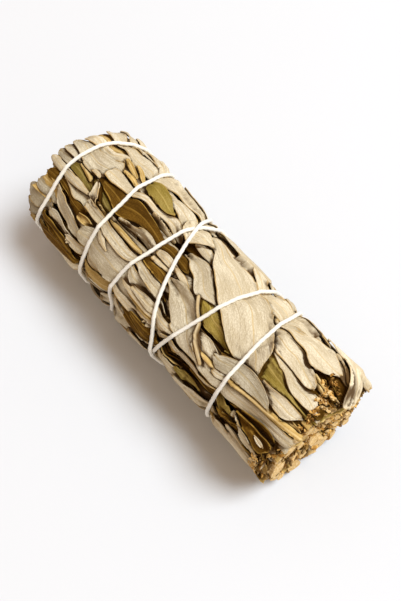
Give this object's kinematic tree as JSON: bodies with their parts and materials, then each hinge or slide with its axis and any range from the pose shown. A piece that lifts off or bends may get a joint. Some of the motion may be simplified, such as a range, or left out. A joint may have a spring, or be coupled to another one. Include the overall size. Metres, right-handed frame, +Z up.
{
  "type": "sage smudge stick",
  "caption": "Bundle of dried sage laid on its side: leafy sprigs and stems packed lengthwise under loose pale, olive and brown leaves, wound with a cotton string, cut straight at one end.",
  "frame": {"origin": "on the surface that the bundle rests on, under the middle of its bounding box", "axes": "+X along the bundle towards its cut end, +Z up, +Y to the left when facing along +X"},
  "size_m": [0.1025, 0.0368, 0.037],
  "materials": {
    "pale_leaf": "dry matt grey-green to cream leaf with fine veins",
    "olive_leaf": "dry olive leaf, slightly satin",
    "brown_leaf": "dry brown leaf with fine ribs, slightly satin",
    "sprig": "packed dry leaves and stalks, matt",
    "dry_stem": "dry straw-coloured stem, matt, paler pith at the cut",
    "cotton_string": "smooth off-white twisted cotton"
  },
  "bodies": {
    "root": {"brown_leaf_1": "brown_leaf", "brown_leaf_2": "brown_leaf", "heart_stem_1": "dry_stem", "heart_stem_2": "dry_stem", "heart_stem_3": "dry_stem", "olive_leaf_1": "olive_leaf", "pale_leaf_01": "pale_leaf", "pale_leaf_02": "pale_leaf", "pale_leaf_03": "pale_leaf", "pale_leaf_04": "pale_leaf", "pale_leaf_05": "pale_leaf", "pale_leaf_06": "pale_leaf", "pale_leaf_07": "pale_leaf", "pale_leaf_08": "pale_leaf", "pale_leaf_09": "pale_leaf", "pale_leaf_10": "pale_leaf", "pale_leaf_11": "pale_leaf", "pale_leaf_12": "pale_leaf", "pale_leaf_13": "pale_leaf", "pale_leaf_14": "pale_leaf", "pale_leaf_15": "pale_leaf", "pale_leaf_16": "pale_leaf", "pale_leaf_17": "pale_leaf", "pale_leaf_18": "pale_leaf", "pale_leaf_19": "pale_leaf", "pale_leaf_20": "pale_leaf", "pale_leaf_21": "pale_leaf", "pale_leaf_22": "pale_leaf", "pale_leaf_23": "pale_leaf", "pale_leaf_24": "pale_leaf", "pale_leaf_25": "pale_leaf", "pale_leaf_26": "pale_leaf", "pale_leaf_27": "pale_leaf", "resting_leaf": "pale_leaf", "sprig_1": "sprig", "sprig_2": "sprig", "sprig_3": "sprig", "sprig_4": "sprig", "sprig_5": "sprig", "sprig_6": "sprig", "sprig_7": "sprig", "sprig_8": "sprig", "string": "cotton_string"}
  },
  "joints": []
}
